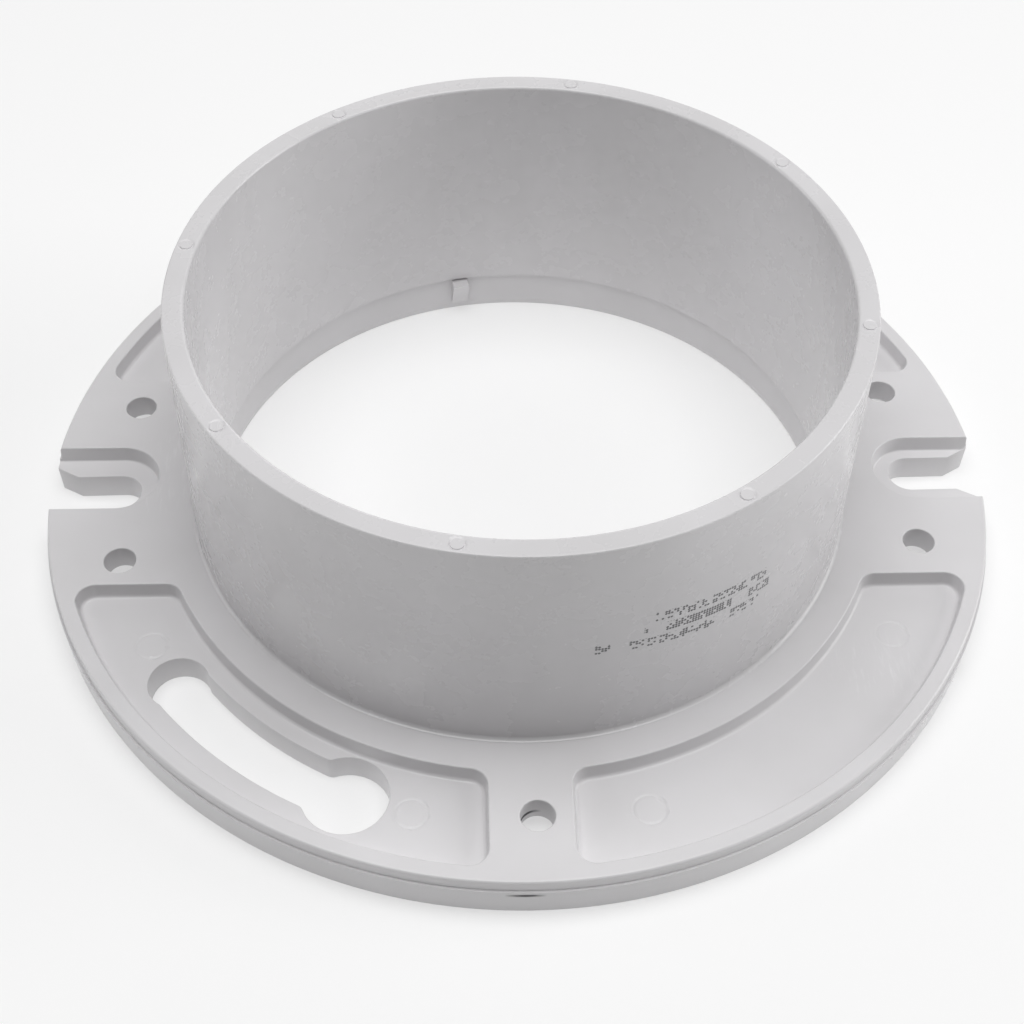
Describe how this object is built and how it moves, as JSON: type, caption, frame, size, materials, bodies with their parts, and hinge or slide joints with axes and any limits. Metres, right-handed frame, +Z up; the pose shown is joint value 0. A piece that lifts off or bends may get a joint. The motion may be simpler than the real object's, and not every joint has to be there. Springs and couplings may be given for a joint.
{
  "type": "toilet flange",
  "caption": "Plastic toilet flange: flat round plate with open bolt slots, curved keyholes, countersunk screw holes and moulded pockets, and a pipe hub standing up from it.",
  "frame": {"origin": "centre of the flat closet face that the plate rests on", "axes": "+Z up through the hub along the pipe; the two open bolt slots lie along X"},
  "size_m": [0.1776, 0.178, 0.0559],
  "materials": {
    "pvc": "satin"
  },
  "bodies": {
    "root": {"flange_plate": "pvc", "pipe_hub": "pvc"}
  },
  "joints": []
}
